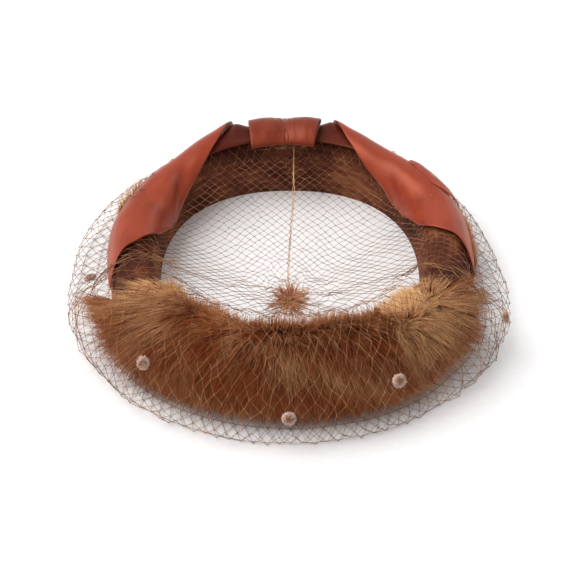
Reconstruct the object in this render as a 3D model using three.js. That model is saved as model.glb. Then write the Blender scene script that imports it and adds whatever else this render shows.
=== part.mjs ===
// Halo hat: an open velvet ring that sits on the crown of the head, a deep fur crescent round its front,
// a low fur strip round its back, a satin ribbon folded over the back with a flat bow, and a coarse veil
// gathered to a point in the opening, stretched over the ring and puffed out round it.
// Millimetres. +Z is up, +Y is the back of the hat, and the hat rests on the plane z = 0.

import * as THREE from "three";
import { mergeVertices } from "three/addons/utils/BufferGeometryUtils.js";

const { degToRad, lerp, smoothstep } = THREE.MathUtils;
const FULL_TURN = 360;

// The ring: an oval hole, and a padded section with a flat underside.
const HOLE_CENTRE_Y = 10;
const HOLE_HALF_WIDTH = 71;
const HOLE_BACK = 74.6;
const HOLE_FRONT = 78;
const HOLE_SQUARENESS = 2.3;
const RING_WIDTH = 26.5;
const WIDTHS = [
  // azimuth, width of the ring, which the tight ribbon draws in beside the bow
  [-180, 26.5],
  [-10, 26.5],
  [12, 25.5],
  [30, 21.8],
  [44, 19.8],
  [60, 19.6],
  [74, 22.6],
  [86, 25.5],
  [96, 25.5],
  [110, 23],
  [122, 21],
  [140, 21],
  [154, 22.8],
  [170, 26.5],
  [180, 26.5],
];
const RING_HEIGHT = 30.5;
const SECTION_SQUARENESS = 2.8;
const RING_STEPS = 36;
const SECTION_STEPS = 12;

// The veil: a strip of net gathered along one edge to the gather point.
const NET_THICKNESS = 1.2;
const NET_LIFT = 2.3;
const GATHER = new THREE.Vector3(0, -43, 30);
const GATHER_RIM = 7;
const CROWN_SAG = 2;
const NET_COLUMNS = 24;
const NET_BUNCHING = 6.9; // degrees by which the columns draw together towards the front
const STRAND_BENDS = [1, 1, 3, 3, 2, 1]; // straight lengths in each strand, row by row from the gather
const STRAND_SHARE = 0.14; // how far each gap draws in from the strands' centre lines
const HEM_HEIGHT = 0.75;
const HEM_CURL = 5;
const HEM_STOP = 2;

// Fur.
const FUR_FROM = -156;
const FUR_TO = -28;
const FUR_CLEARANCE = 1.3;
const BACK_FUR_FROM = -7;
const BACK_FUR_TO = 164;

// Satin ribbon.
const SATIN = 1.2;

// Chenille dots and the seam of the veil.
const DOT_RADIUS = 3.9;
const DOT_FLATNESS = 0.72;
const SEAM_RADIUS = 0.7;

// Radius of the veil's puffed edge round the hole's centre, by azimuth. 0 is the hat's left as worn
// (+X), 90 the back, -90 the front.
const PUFF = [
  // azimuth, radius
  [-180, 119],
  [-163, 123.7],
  [-150, 127.2],
  [-126, 130],
  [-66, 130.4],
  [-36, 128.2],
  [-22, 125],
  [-10, 120.5],
  [0, 115],
  [10, 112.5],
  [30, 111],
  [60, 110.5],
  [120, 110.5],
  [150, 116],
  [165, 118.5],
  [180, 119],
];

// Turn round the section at which the crown of the veil leaves the ring: high on the fur and the bare
// velvet, and low where it comes out from under the ribbon's folds.
const LEAVE = [
  // azimuth, turn
  [-180, 46],
  [-156, 54],
  [-146, 60],
  [-36, 60],
  [-24, 52],
  [0, 46],
  [6, 44],
  [12, 37],
  [22, 24],
  [30, 14],
  [37, 14],
  [44, 23],
  [54, 37],
  [61, 45],
  [125, 45],
  [130, 43],
  [138, 37],
  [146, 24],
  [153, 14],
  [160, 14],
  [167, 24],
  [176, 38],
  [180, 46],
];

// Fur round the ring's section, from the hole over the top to the outer foot. turn is the angle round
// the section, under the depth of the dense underfur, over the reach of the locks' tips, and fall how
// far round the section the tips fall.
const FUR_SECTION = [
  // turn, under, over, fall
  [36, 2.5, 5, 6],
  [54, 5.5, 8, 10],
  [72, 7.5, 11, 14],
  [90, 9, 13, 17],
  [108, 10, 15, 19],
  [126, 11, 16.6, 20],
  [144, 11, 17.2, 16],
  [159, 9, 17, 10],
  [172, 6, 13, 0],
];

// The low strip of fur that runs behind the satin round the back.
const BACK_FUR_SECTION = [
  [158, 1.5, 2.5, 4],
  [164, 3, 4.4, 3],
  [171, 3.5, 5.4, 1],
  [176, 2.5, 4.6, 0],
];

// The ribbon's folds. Each row is a station round the section: the ribbon spans from one azimuth to
// the other there, at the first lift off the velvet near the bow and the second one further on.
const BAND = [
  // turn, from, to, lift by the bow, lift further on
  [70, 128.4, 58.8, 4.2, 4.2],
  [82, 122.6, 63.8, 4, 4],
  [100, 115.6, 68.4, 4, 4],
  [120, 111.8, 71.6, 4.2, 4.2],
  [138, 110.8, 72.6, 4.4, 4.4],
];
const WRAP_LEFT = [
  [20, 153, 161, 3.9, 3.9],
  [32, 146, 168, 4.6, 4.2],
  [48, 137, 177.5, 5.6, 4.4],
  [66, 127.5, 182, 6.4, 4.4],
  [84, 119.5, 186, 6.5, 4.2],
  [102, 113, 187.5, 6.4, 4.1],
  [120, 109, 190, 6.4, 4.1],
  [134, 108, 192, 6.4, 4.3],
  [146, 107.5, 194, 6.4, 4.8],
];
const WRAP_RIGHT = [
  [20, 37, 29, 3.9, 3.9],
  [32, 44, 20, 4.6, 4.2],
  [48, 54, 9, 5.6, 4.4],
  [66, 61, 3.5, 6.4, 4.4],
  [84, 67.5, 0, 6.6, 4.2],
  [102, 72.5, -3, 6.5, 4.1],
  [120, 75.5, -7, 6.5, 4.1],
  [134, 76.3, -10, 6.5, 4.3],
  [146, 76.5, -12, 6.5, 4.8],
];
const TAIL_RIGHT = [
  [104, 42.5, 25, 6, 5.9],
  [116, 43, 21, 6, 5.9],
  [128, 42, 19, 6.1, 6.1],
  [140, 40, 18, 6.5, 6.5],
];
const FOLD_SETTLES = [0.07, 0.32];

// The flat bow: a squashed loop of ribbon lying along the ring, pinched in the middle.
const BOW = [
  // azimuth, half width across the ring, height
  [105, 12.8, 5.8],
  [99, 13, 6.4],
  [94, 12.4, 5.4],
  [91.5, 12, 4.8],
  [89, 12.4, 5.6],
  [84, 13.2, 6.6],
  [79, 13, 6.2],
];
const BOW_TURN = 84;
const BOW_LIFT = 6.3;
const BOW_SIDES = 14;

// The dots' places on the veil's strands.
const DOT_CLEARANCE = 0.75;
const DOTS = [
  // azimuth, level
  [-166, 2.14],
  [-124.5, 2.18],
  [-91.5, 2.46],
  [-65.5, 2.2],
  [-29, 2.35],
];

const COLOURS = {
  velvet: { color: 0x5a3022, roughness: 0.95 },
  fur: { color: 0x7a4a26, roughness: 0.9 },
  satin: { color: 0xb0583f, roughness: 0.4 },
  net: { color: 0x8a6247, roughness: 0.6 },
  chenille: { color: 0xa07f6a, roughness: 1 },
};
const materials = Object.fromEntries(
  Object.entries(COLOURS).map(([name, look]) => [
    name,
    new THREE.MeshStandardMaterial({ ...look, metalness: 0 }),
  ]),
);

// The value of one column of a table at a place along its first column, with straight lines between rows.
function read(table, at, column) {
  const next = table.findIndex((row) => row[0] >= at);
  if (next === -1) return table[table.length - 1][column];
  if (next === 0) return table[0][column];
  const [a, b] = [table[next - 1], table[next]];
  return lerp(a[column], b[column], (at - a[0]) / (b[0] - a[0]));
}

// Azimuth in degrees brought into -180 to 180.
function wrapped(azimuth) {
  return ((((azimuth + 180) % FULL_TURN) + FULL_TURN) % FULL_TURN) - 180;
}

function holeRadius(azimuth) {
  const a = degToRad(azimuth);
  const [x, y] = [Math.abs(Math.cos(a)), Math.sin(a)];
  const depth = y > 0 ? HOLE_BACK : HOLE_FRONT;
  return (
    ((x / HOLE_HALF_WIDTH) ** HOLE_SQUARENESS +
      (Math.abs(y) / depth) ** HOLE_SQUARENESS) **
    (-1 / HOLE_SQUARENESS)
  );
}

function ringWidth(azimuth) {
  return read(WIDTHS, wrapped(azimuth), 1);
}

// A point at a radius from the hole's centre.
function polar(azimuth, radius, z) {
  const a = degToRad(azimuth);
  return new THREE.Vector3(
    radius * Math.cos(a),
    HOLE_CENTRE_Y + radius * Math.sin(a),
    z,
  );
}

// Place and outward normal on the ring's section: [out from the hole, up, normal out, normal up].
function section(turn) {
  const t = degToRad(turn);
  const power = 2 / SECTION_SQUARENESS;
  const across = -Math.sign(Math.cos(t)) * Math.abs(Math.cos(t)) ** power;
  const up = Math.max(Math.sin(t), 0) ** power;
  const grow = SECTION_SQUARENESS - 1;
  const slopeOut = (Math.sign(across) * Math.abs(across) ** grow) / (RING_WIDTH / 2);
  const slopeUp = up ** grow / RING_HEIGHT;
  const length = Math.hypot(slopeOut, slopeUp);
  return [
    (RING_WIDTH / 2) * (1 + across),
    RING_HEIGHT * up,
    slopeOut / length,
    slopeUp / length,
  ];
}

// A point lifted off the ring's velvet.
function onRing(azimuth, turn, lift) {
  const [out, up, normalOut, normalUp] = section(turn);
  return polar(
    azimuth,
    holeRadius(azimuth) + (out * ringWidth(azimuth)) / RING_WIDTH + lift * normalOut,
    up + lift * normalUp,
  );
}

// 1 over the front fur, falling to 0 past its ends.
function furPresence(azimuth) {
  const a = wrapped(azimuth);
  return smoothstep(a, FUR_FROM - 13, FUR_FROM + 7) * (1 - smoothstep(a, FUR_TO - 7, FUR_TO + 13));
}

// A closed solid from a list of triangles, turned to face outwards.
function solidFrom(triangles) {
  const flat = new Float32Array(triangles.flat().flatMap((p) => [p.x, p.y, p.z]));
  let volume = 0;
  for (const [a, b, c] of triangles) volume += a.dot(b.clone().cross(c));
  const geometry = new THREE.BufferGeometry();
  geometry.setAttribute("position", new THREE.BufferAttribute(flat, 3));
  const merged = mergeVertices(geometry, 1e-4);
  if (volume < 0) merged.index.array.reverse();
  return merged;
}

function quad(a, b, c, d) {
  return [
    [a, b, c],
    [a, c, d],
  ];
}

// Triangles between neighbouring rows of points. closedRows joins the last row to the first,
// closedColumns each row's end to its start.
function sheet(rows, closedRows = false, closedColumns = false) {
  const triangles = [];
  const across = closedColumns ? rows[0].length : rows[0].length - 1;
  const along = closedRows ? rows.length : rows.length - 1;
  for (let i = 0; i < along; i++) {
    for (let j = 0; j < across; j++) {
      const [r, s] = [rows[i], rows[(i + 1) % rows.length]];
      const k = (j + 1) % rows[0].length;
      triangles.push(...quad(r[j], r[k], s[k], s[j]));
    }
  }
  return triangles;
}

function reversed(triangles) {
  return triangles.map(([a, b, c]) => [a, c, b]);
}

// A wall of cloth between an under and an over sheet of the same rows and columns, closed round its edges.
function wallOf(under, over) {
  const edge = (rows) => [
    ...rows[0],
    ...rows.slice(1, -1).map((row) => row[row.length - 1]),
    ...[...rows[rows.length - 1]].reverse(),
    ...rows.slice(1, -1).map((row) => row[0]).reverse(),
  ];
  return [
    ...sheet(over),
    ...reversed(sheet(under)),
    ...sheet([edge(under), edge(over)], false, true),
  ];
}

function steps(count, from = 0, to = 1) {
  return Array.from({ length: count + 1 }, (_, i) => lerp(from, to, i / count));
}

const hat = new THREE.Group();

function add(name, geometry, material) {
  const mesh = new THREE.Mesh(geometry, material);
  mesh.name = name;
  hat.add(mesh);
}

// Velvet ring
function velvetRing() {
  const rows = steps(RING_STEPS - 1, 0, FULL_TURN * (1 - 1 / RING_STEPS)).map((azimuth) =>
    steps(SECTION_STEPS, 0, 180).map((turn) => onRing(azimuth, turn, 0)),
  );
  return solidFrom(sheet(rows, true, true));
}

// Fur over part of the ring: a wall of underfur whose outer face is drawn out into pointed locks, one
// from each cell of the wall. The locks fall outwards and, towards the fur's two ends, along the ring.
function furOver({ from, to, table, columns, sweep, middle }) {
  const share = (azimuth) => (2 * azimuth - from - to) / (to - from);
  const swell = (azimuth) =>
    (0.06 + 0.94 * Math.sqrt(Math.max(0, 1 - Math.abs(share(azimuth)) ** 4))) *
    lerp(middle, 1, smoothstep(Math.abs(share(azimuth)), 0.2, 0.75));
  const depth = (azimuth, turn, column) => FUR_CLEARANCE + 1 + read(table, turn, column) * swell(azimuth);
  const last = table.length - 1;
  const inward = (azimuth, turn) => lerp(turn, table[last][0], 0.3 * Math.abs(share(azimuth)) ** 4);
  const azimuths = steps(columns, from, to);
  const turns = table.map((row) => row[0]);
  const face = (lift) => azimuths.map((a) => turns.map((t) => onRing(a, inward(a, t), lift(a, t))));
  const under = face(() => FUR_CLEARANCE);
  const over = face((a, t) => depth(a, t, 1));
  const locks = [];
  for (let i = 0; i < columns; i++) {
    for (let j = 0; j < last; j++) {
      const cell = [over[i][j], over[i][j + 1], over[i + 1][j + 1], over[i + 1][j]];
      const uneven = Math.sin(12.9898 * i + 78.233 * j);
      const azimuth = lerp(azimuths[i], azimuths[i + 1], 0.5 + 0.3 * uneven);
      const turn = (turns[j] + turns[j + 1]) / 2 + table[j][3] * (0.85 + 0.15 * uneven);
      const along = sweep * share(azimuth) ** 3;
      const reach = depth(azimuth, turn, 2) * (0.86 + 0.14 * Math.cos(7.1 * i + 3.3 * j));
      const tip = onRing(azimuth + along, inward(azimuth, Math.min(turn, 178)), reach);
      const root = cell.reduce((sum, p) => sum.add(p), new THREE.Vector3()).divideScalar(4);
      const waist = cell.map((p) => p.clone().sub(root).multiplyScalar(0.7).add(root).lerp(tip, 0.5));
      const point = waist.map((p, k) => [p, waist[(k + 1) % 4], tip]);
      locks.push(...sheet([cell, waist], false, true), ...point);
    }
  }
  const rim = (rows) => [
    ...rows[0],
    ...rows.slice(1, -1).map((row) => row[last]),
    ...[...rows[columns]].reverse(),
    ...rows.slice(1, -1).map((row) => row[0]).reverse(),
  ];
  return solidFrom([...locks, ...reversed(sheet(under)), ...sheet([rim(under), rim(over)], false, true)]);
}

// Veil
// How far it stands off the ring: close on the velvet, clear of the locks over the fur.
function netLift(azimuth, turn) {
  return NET_LIFT + furPresence(azimuth) * (read(FUR_SECTION, turn, 2) + 1.3);
}

const SHOULDER_VELVET = 153; // turn at which the skirt of the veil starts to stand away
const SHOULDER_FUR = 128;

// A point of the veil's middle surface. level runs 0 to 1 from the gather to the ring, 1 to 2 over
// the ring, 2 to 3 down the puffed skirt, and 3 to 4 along the hem tucked under it.
function onVeil(azimuth, level) {
  const leave = read(LEAVE, wrapped(azimuth), 1);
  const shoulder = lerp(SHOULDER_VELVET, SHOULDER_FUR, furPresence(azimuth));
  const landing = onRing(azimuth, leave, netLift(azimuth, leave));
  if (level < 1) {
    const rim = landing.clone().sub(GATHER).setZ(0).setLength(GATHER_RIM).add(GATHER);
    const span = rim.distanceTo(landing);
    const sag = CROWN_SAG * Math.min(1, span / 80) * 4 * level * (1 - level);
    return rim.lerp(landing, level).add(new THREE.Vector3(0, 0, -sag));
  }
  if (level <= 2) {
    const turn = lerp(leave, shoulder, level - 1);
    return onRing(azimuth, turn, netLift(azimuth, turn));
  }
  const top = onRing(azimuth, shoulder, netLift(azimuth, shoulder));
  const puff = read(PUFF, wrapped(azimuth), 1);
  const foot = polar(azimuth, puff - HEM_CURL, HEM_HEIGHT);
  if (level <= 3) {
    const skirt = new THREE.CubicBezierCurve3(
      top,
      polar(azimuth, puff - 3, top.z - 1),
      polar(azimuth, puff + 5, HEM_HEIGHT + 2),
      foot,
    );
    return skirt.getPoint(level - 2);
  }
  const stop = polar(azimuth, holeRadius(azimuth) + ringWidth(azimuth) + HEM_STOP, HEM_HEIGHT);
  return foot.lerp(stop, level - 3);
}

// The two faces of the veil at a place on it.
function veilFaces(azimuth, level) {
  const step = 0.01;
  const here = onVeil(azimuth, level);
  const round = onVeil(azimuth + 0.5, level).sub(onVeil(azimuth - 0.5, level));
  const before = onVeil(azimuth, Math.max(level - step, 0));
  const after = onVeil(azimuth, Math.min(level + step, 4));
  const normal = round.cross(after.sub(before)).normalize().multiplyScalar(-NET_THICKNESS / 2);
  return [here.clone().add(normal), here.clone().sub(normal)];
}

// Azimuth of a net column, which may be a fraction. Column 0 hangs over the front.
function columnAzimuth(column) {
  const turned = (FULL_TURN * (column - 0.5)) / NET_COLUMNS;
  return -90 + turned - NET_BUNCHING * Math.sin(degToRad(turned));
}

// The two faces of the veil at a net crossing, by column and row from the gather to the hem.
function netCrossing([column, row]) {
  return veilFaces(columnAzimuth(column), (3 * row) / STRAND_BENDS.length);
}

// The cut net from the gather to the hem: diamond gaps in staggered rows, joined by strands, with
// whole half diamonds along both edges.
function cutNet() {
  const rows = STRAND_BENDS.length;
  const strand = (from, to) => {
    const bends = STRAND_BENDS[Math.min(from[1], to[1])];
    return steps(bends)
      .slice(0, -1)
      .map((share) => [lerp(from[0], to[0], share), lerp(from[1], to[1], share)]);
  };
  const triangles = [];
  for (let row = 1; row < rows; row++) {
    for (let i = 0; i < NET_COLUMNS; i++) {
      const centre = i + ((row + 1) % 2) / 2;
      const corners = [
        [centre - 0.5, row],
        [centre, row - 1],
        [centre + 0.5, row],
        [centre, row + 1],
      ];
      const rim = corners.flatMap((corner, k) => strand(corner, corners[(k + 1) % 4]));
      const gap = rim.map(([c, r]) => [lerp(c, centre, STRAND_SHARE), lerp(r, row, STRAND_SHARE)]);
      const [rimFaces, gapFaces] = [rim.map(netCrossing), gap.map(netCrossing)];
      const face = (faces, which) => faces.map((pair) => pair[which]);
      triangles.push(
        ...sheet([face(rimFaces, 1), face(gapFaces, 1)], false, true),
        ...reversed(sheet([face(rimFaces, 0), face(gapFaces, 0)], false, true)),
        ...sheet([face(gapFaces, 1), face(gapFaces, 0)], false, true),
      );
    }
  }
  for (const [row, inward] of [
    [0, 1],
    [rows, -1],
  ]) {
    for (let i = 0; i < NET_COLUMNS; i++) {
      const [left, middle, right, peak] = [
        [i, row],
        [i + 0.5, row],
        [i + 1, row],
        [i + 0.5, row + inward],
      ].map(netCrossing);
      const half = [
        [middle[1], right[1], peak[1]],
        [middle[1], peak[1], left[1]],
        [middle[0], peak[0], right[0]],
        [middle[0], left[0], peak[0]],
      ];
      triangles.push(...(inward < 0 ? reversed(half) : half));
    }
  }
  return triangles;
}

// A plain band of the veil between two levels, where it lies on the ring or under the hem.
function plainZone(levels) {
  const columns = steps(2 * NET_COLUMNS - 1, 0, NET_COLUMNS - 0.5);
  const faces = levels.map((level) =>
    columns.map((column) => veilFaces(columnAzimuth(column), level)),
  );
  const side = (face) => faces.map((row) => row.map((pair) => pair[face]));
  return [...sheet(side(1), false, true), ...reversed(sheet(side(0), false, true))];
}

// The veil's cut edge at one level.
function netEdge(level, flip) {
  const faces = steps(2 * NET_COLUMNS - 1, 0, NET_COLUMNS - 0.5).map((column) =>
    veilFaces(columnAzimuth(column), level),
  );
  const strip = sheet([faces.map((p) => p[0]), faces.map((p) => p[1])], false, true);
  return flip ? reversed(strip) : strip;
}

function veilNet() {
  return solidFrom([
    ...netEdge(0, false),
    ...cutNet(),
    ...plainZone([3, 4]),
    ...netEdge(4, true),
  ]);
}

// The pleated knot where the veil's edge is drawn together.
function gatherKnot() {
  const pleats = 8;
  const profile = [
    // radius, height
    [5.6, -3.5],
    [6, -1],
    [4.2, 2],
    [4.8, 4.6],
    [2.6, 6.4],
  ];
  const ring = (radius, z) =>
    steps(2 * pleats - 1, 0, FULL_TURN * (1 - 0.5 / pleats)).map((angle, i) => {
      const size = radius * (i % 2 ? 0.78 : 1);
      const a = degToRad(angle);
      return new THREE.Vector3(size * Math.cos(a), size * Math.sin(a), z).add(GATHER);
    });
  const rows = profile.map(([radius, z]) => ring(radius, z));
  const fan = (row, z) => {
    const hub = new THREE.Vector3(0, 0, z).add(GATHER);
    return row.map((point, i) => [hub, point, row[(i + 1) % row.length]]);
  };
  const top = rows[rows.length - 1];
  return solidFrom([
    ...sheet(rows, false, true),
    ...reversed(fan(rows[0], -2.5)),
    ...fan(top, 7.2),
  ]);
}

// The veil's seam, drawn tight from the gather to the back of the ring and up its inner wall.
function veilSeam() {
  const clear = NET_THICKNESS / 2 + SEAM_RADIUS + 0.5;
  const stations = [
    ...steps(5, 0.06, 0.94).map((level) => onVeil(90, level).add(new THREE.Vector3(0, 0, clear + 0.2))),
    ...[49, 55].map((turn) => onRing(90, turn, NET_LIFT + clear)),
  ];
  const angle = (i) => (i * Math.PI) / 3;
  const outline = new THREE.Shape(
    [0, 1, 2, 3, 4, 5].map(
      (i) => new THREE.Vector2(SEAM_RADIUS * Math.cos(angle(i)), SEAM_RADIUS * Math.sin(angle(i))),
    ),
  );
  const tube = new THREE.ExtrudeGeometry(outline, {
    steps: 16,
    bevelEnabled: false,
    extrudePath: new THREE.CatmullRomCurve3(stations),
  });
  tube.deleteAttribute("normal");
  tube.deleteAttribute("uv");
  return mergeVertices(tube, 1e-4);
}

// Satin folds: a wall of ribbon whose ends at each station of the section are given by a table.
function satinFold(table, columns) {
  const face = (extra) =>
    table.map(([turn, from, to, high, low]) =>
      steps(columns, 0, 1).map((share) => {
        const lift = lerp(high, low, smoothstep(share, ...FOLD_SETTLES));
        return onRing(lerp(from, to, share), turn, lift + extra);
      }),
    );
  return solidFrom(wallOf(face(0), face(SATIN)));
}

// The bow's loop of ribbon: an oval tube with open ends that follows the ring.
function satinBow() {
  const loop = (wall) =>
    BOW.map(([azimuth, halfWidth, height]) => {
      const middle = onRing(azimuth, BOW_TURN, BOW_LIFT + height / 2);
      const out = polar(azimuth, 1, 0).sub(polar(azimuth, 0, 0));
      return steps(BOW_SIDES - 1, 0, FULL_TURN * (1 - 1 / BOW_SIDES)).map((angle) => {
        const a = degToRad(angle);
        const across = (halfWidth - wall) * Math.cos(a);
        const bend = -0.022 * across * across;
        return middle
          .clone()
          .addScaledVector(out, across)
          .add(new THREE.Vector3(0, 0, (height / 2 - wall) * Math.sin(a) + bend));
      });
    });
  const [outer, inner] = [loop(0), loop(SATIN)];
  const ends = (i) => sheet([outer[i], inner[i]], false, true);
  return solidFrom([
    ...sheet(outer, false, true),
    ...reversed(sheet(inner, false, true)),
    ...reversed(ends(0)),
    ...ends(BOW.length - 1),
  ]);
}

// Chenille dots, tied on the outside of the veil's strands.
function chenilleDot([azimuth, level]) {
  const [under, over] = veilFaces(azimuth, level);
  const out = over.clone().sub(under).normalize();
  const dot = new THREE.SphereGeometry(DOT_RADIUS, 8, 4);
  dot.scale(1, 1, DOT_FLATNESS);
  dot.deleteAttribute("normal");
  dot.deleteAttribute("uv");
  dot.applyQuaternion(new THREE.Quaternion().setFromUnitVectors(new THREE.Vector3(0, 0, 1), out));
  const centre = over.clone().addScaledVector(out, DOT_RADIUS * DOT_FLATNESS + DOT_CLEARANCE);
  dot.translate(centre.x, centre.y, centre.z);
  return mergeVertices(dot, 1e-4);
}

add("velvet_ring", velvetRing(), materials.velvet);
add(
  "fur_front",
  furOver({ from: FUR_FROM, to: FUR_TO, table: FUR_SECTION, columns: 20, sweep: 6, middle: 1 }),
  materials.fur,
);
add(
  "fur_back",
  furOver({ from: BACK_FUR_FROM, to: BACK_FUR_TO, table: BACK_FUR_SECTION, columns: 18, sweep: 0, middle: 0.25 }),
  materials.fur,
);
add("veil_net", veilNet(), materials.net);
add("veil_gather", gatherKnot(), materials.net);
add("veil_seam", veilSeam(), materials.net);
add("satin_band", satinFold(BAND, 8), materials.satin);
add("satin_wrap_left", satinFold(WRAP_LEFT, 8), materials.satin);
add("satin_wrap_right", satinFold(WRAP_RIGHT, 8), materials.satin);
add("satin_tail_right", satinFold(TAIL_RIGHT, 6), materials.satin);
add("satin_bow", satinBow(), materials.satin);
DOTS.forEach((dot, i) => add(`chenille_dot_${i + 1}`, chenilleDot(dot), materials.chenille));

export default hat;
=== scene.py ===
# A halo hat: a padded velvet ring that sits on the crown of the head, with a deep fur front, a low fur strip
# round the back, a satin ribbon folded into wraps and a flat bow, and a veil of diamond net gathered to a
# point in the opening. It lies on a pale table.
#
# Lengths here are in millimetres, and MM turns them into Blender's metres. Angles are in degrees: azimuth
# goes round the ring from +X, with the bow at 90, and turn goes over the ring's section, from its inner foot
# at 0 over its top at 90 to its outer foot at 180.

import math

import bmesh
import bpy
import numpy as np
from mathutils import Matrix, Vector


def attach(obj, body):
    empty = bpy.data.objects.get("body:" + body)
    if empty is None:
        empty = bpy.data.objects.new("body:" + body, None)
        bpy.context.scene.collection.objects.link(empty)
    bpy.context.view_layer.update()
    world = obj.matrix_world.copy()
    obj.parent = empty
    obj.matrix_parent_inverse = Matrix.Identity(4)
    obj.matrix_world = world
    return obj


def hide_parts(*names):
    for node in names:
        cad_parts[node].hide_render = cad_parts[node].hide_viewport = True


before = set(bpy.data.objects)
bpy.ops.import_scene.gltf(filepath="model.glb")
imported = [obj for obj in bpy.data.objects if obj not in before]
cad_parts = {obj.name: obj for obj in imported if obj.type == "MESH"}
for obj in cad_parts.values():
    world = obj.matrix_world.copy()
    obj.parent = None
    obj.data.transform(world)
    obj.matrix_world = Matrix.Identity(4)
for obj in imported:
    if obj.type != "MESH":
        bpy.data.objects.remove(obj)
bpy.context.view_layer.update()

MM = 0.001
UP = np.array([0, 0, 1])
rng = np.random.default_rng(7)

# Camera, as far and as high as the photographer stood
CAMERA_DISTANCE = 900
CAMERA_ELEVATION = 42
CAMERA_AIM = (0, -1.9, 0)
LENS = 102.5

# Ring
CENTRE_Y = 10
HALF_WIDTH = 71
DEPTH_BACK = 74.6
DEPTH_FRONT = 78
OVAL_SQUARENESS = 2.3
RING_WIDTH = 26.5
RING_HEIGHT = 30.5
SECTION_SQUARENESS = 2.8

# azimuth, width of the ring, which the tight ribbon draws in beside the bow
WIDTHS = np.array([
    [-180, 26.5], [-10, 26.5], [12, 25.5], [30, 21.8], [44, 19.8], [60, 19.6], [74, 22.6], [86, 25.5],
    [96, 25.5], [110, 23], [122, 21], [140, 21], [154, 22.8], [170, 26.5], [180, 26.5],
])

# Veil
GATHER = np.array([0.0, -43.0, 30.0])
GATHER_RIM = 3
CROWN_SAG = 2
NET_LIFT = 2.3
NET_OVER_FUR = 2.6
NET_SIDE = 5.8
NET_WIDEST = 1.7
NET_COLUMNS = 104
NET_ROWS = 34
NET_BUNCHING = 12
CROWN_NET = (168, 180)
CROWN_CELL = (5.7, 5.2)
CROWN_DRAWN_IN = 1.36
CROWN_LAP = 1.04
THREAD = 0.28
THREAD_SIDES = 5
KNOT_RADIUS = 0.38
GATHER_ENDS = 460
SEAM_POINTS = 240
COIL_POINTS = 200
COIL_TURNS = 8
HEM_HEIGHT = 0.75
HEM_CURL = 5
HEM_STOP = 2
SHOULDER_VELVET = 153
SHOULDER_FUR = 128

# Fur
FUR_FROM, FUR_TO = -156, -28
BACK_FUR_FROM, BACK_FUR_TO = -7, 164
# how many hairs, wisps and locks
FRONT_COAT = (67000, 5600, 700)
BACK_COAT = (7000, 1800, 220)
# millimetres along the skin for a degree of azimuth and of turn
PER_AZIMUTH, PER_TURN = 1.7, 0.5

# azimuth, radius of the veil's puffed edge
PUFF = np.array([
    [-180, 119], [-163, 123.7], [-150, 127.2], [-126, 130], [-66, 130.4], [-36, 128.2], [-22, 125],
    [-10, 120.5], [0, 115], [10, 112.5], [30, 111], [60, 110.5], [120, 110.5], [150, 116], [165, 118.5],
    [180, 119],
])

# azimuth, turn round the section at which the veil leaves the ring for the gather
LEAVE = np.array([
    [-180, 46], [-156, 54], [-146, 60], [-36, 60], [-24, 52], [0, 46], [6, 44], [12, 37], [22, 24], [30, 14],
    [37, 14], [44, 23], [54, 37], [61, 45], [125, 45], [130, 43], [138, 37], [146, 24], [153, 14], [160, 14],
    [167, 24], [176, 38], [180, 46],
])

# turn round the section, depth of the underfur, reach of the hair
FUR_SECTION = np.array([
    [36, 2.5, 5], [54, 5.5, 8], [72, 7.5, 11], [90, 9, 13], [108, 10, 15], [126, 11, 16.6], [144, 11, 17.2],
    [159, 9, 17], [172, 6, 13],
])
# height above which the veil presses the hair down
FUR_PRESSED = 49
# azimuth and turn of the two partings near the fur's right end
WHORLS = [(-41.5, 93), (-51.5, 99)]
BACK_FUR_SECTION = np.array([[158, 1.5, 2.5], [164, 3, 4.4], [171, 3.5, 5.4], [176, 2.5, 4.6]])

# Ribbon folds: turn, from azimuth, to azimuth, lift off the velvet by the bow, lift further on
BAND = np.array([
    [70, 128.4, 58.8, 4.2, 4.2], [82, 122.6, 63.8, 4, 4], [100, 115.6, 68.4, 4, 4],
    [120, 111.8, 71.6, 4.2, 4.2], [138, 110.8, 72.6, 4.4, 4.4],
])
WRAP_LEFT = np.array([
    [20, 153, 161, 3.4, 3.2], [32, 146, 168, 4.2, 3.4], [48, 137, 177.5, 5.4, 3.4],
    [66, 127.5, 182, 6.2, 3.1], [84, 119.5, 187, 6.4, 2.6], [102, 113, 191, 6.2, 2.2],
    [120, 109, 196, 6.2, 1.8], [134, 108, 199, 6.2, 1.7], [146, 107.5, 201, 6.2, 1.8],
])
WRAP_RIGHT = np.array([
    [20, 37, 29, 3.4, 3.2], [32, 44, 20, 4.2, 3.4], [48, 54, 9, 5.4, 3.4], [66, 61, 3.5, 6.2, 3.1],
    [84, 67.5, 0, 6.5, 2.8], [102, 72.5, -3, 6.4, 2.7], [120, 75.5, -7, 6.4, 2.6], [134, 76.3, -10, 6.4, 2.7],
    [146, 76.5, -12, 6.4, 3.1],
])
TAIL_RIGHT = np.array([
    [98, 42, 27, 3.9, 3.1], [106, 42.5, 24, 4.3, 3.3], [116, 43, 21, 4.9, 3.7], [128, 42, 19, 5.3, 4.1],
    [140, 40, 18, 5.4, 4.4],
])
FOLD_SETTLES = (0.07, 0.32)
RIBBON_THICKNESS = 0.8

# Bow: azimuth, half width across the ring, height
BOW = np.array([
    [105, 12.8, 5.8], [99, 13, 6.4], [94, 12.4, 5.4], [91.5, 12, 4.8], [89, 12.4, 5.6], [84, 13.2, 6.6],
    [79, 13, 6.2],
])
BOW_TURN = 84
BOW_LIFT = 6.3
BOW_TACK = 92

# Chenille dots: azimuth, level on the veil
DOTS = [(-166, 2.14), (-124.5, 2.18), (-90.2, 2.42), (-65.5, 2.2), (-29, 2.35)]
DOT_RADIUS = 4.1
DOT_HAIRS = 460

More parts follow.
